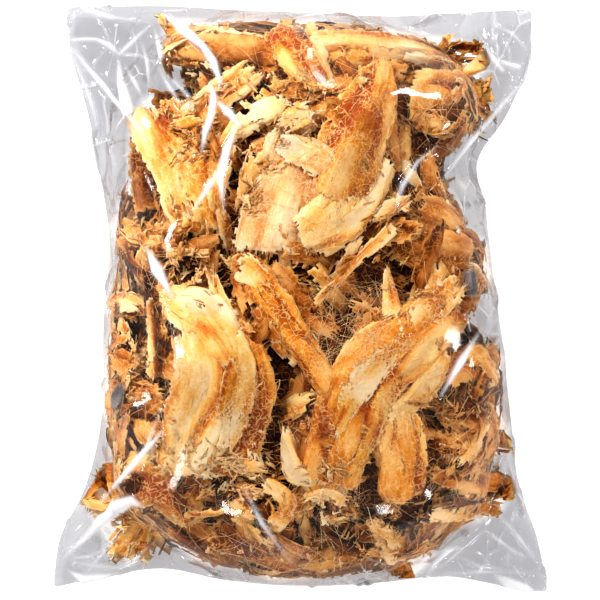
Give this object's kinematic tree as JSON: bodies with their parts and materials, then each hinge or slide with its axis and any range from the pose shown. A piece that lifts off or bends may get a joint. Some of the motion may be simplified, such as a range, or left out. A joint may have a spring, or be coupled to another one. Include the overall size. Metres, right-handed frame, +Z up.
{
  "type": "bag of dried stockfish fillet pieces",
  "caption": "Clear flat sealed bag filled with dried stockfish fillet pieces, lying on its back; plump in the middle, flat empty corners.",
  "frame": {"origin": "middle of the pack's outline as seen from above, at the height of the surface that it lies on", "axes": "+X to the bag's right, +Y to its top seal, +Z up, the shown face up"},
  "size_m": [0.2606, 0.3078, 0.0916],
  "materials": {
    "stockfish_in_film": "glossy clear film over dry fibrous fish"
  },
  "bodies": {
    "root": {"bag": "stockfish_in_film"}
  },
  "joints": []
}
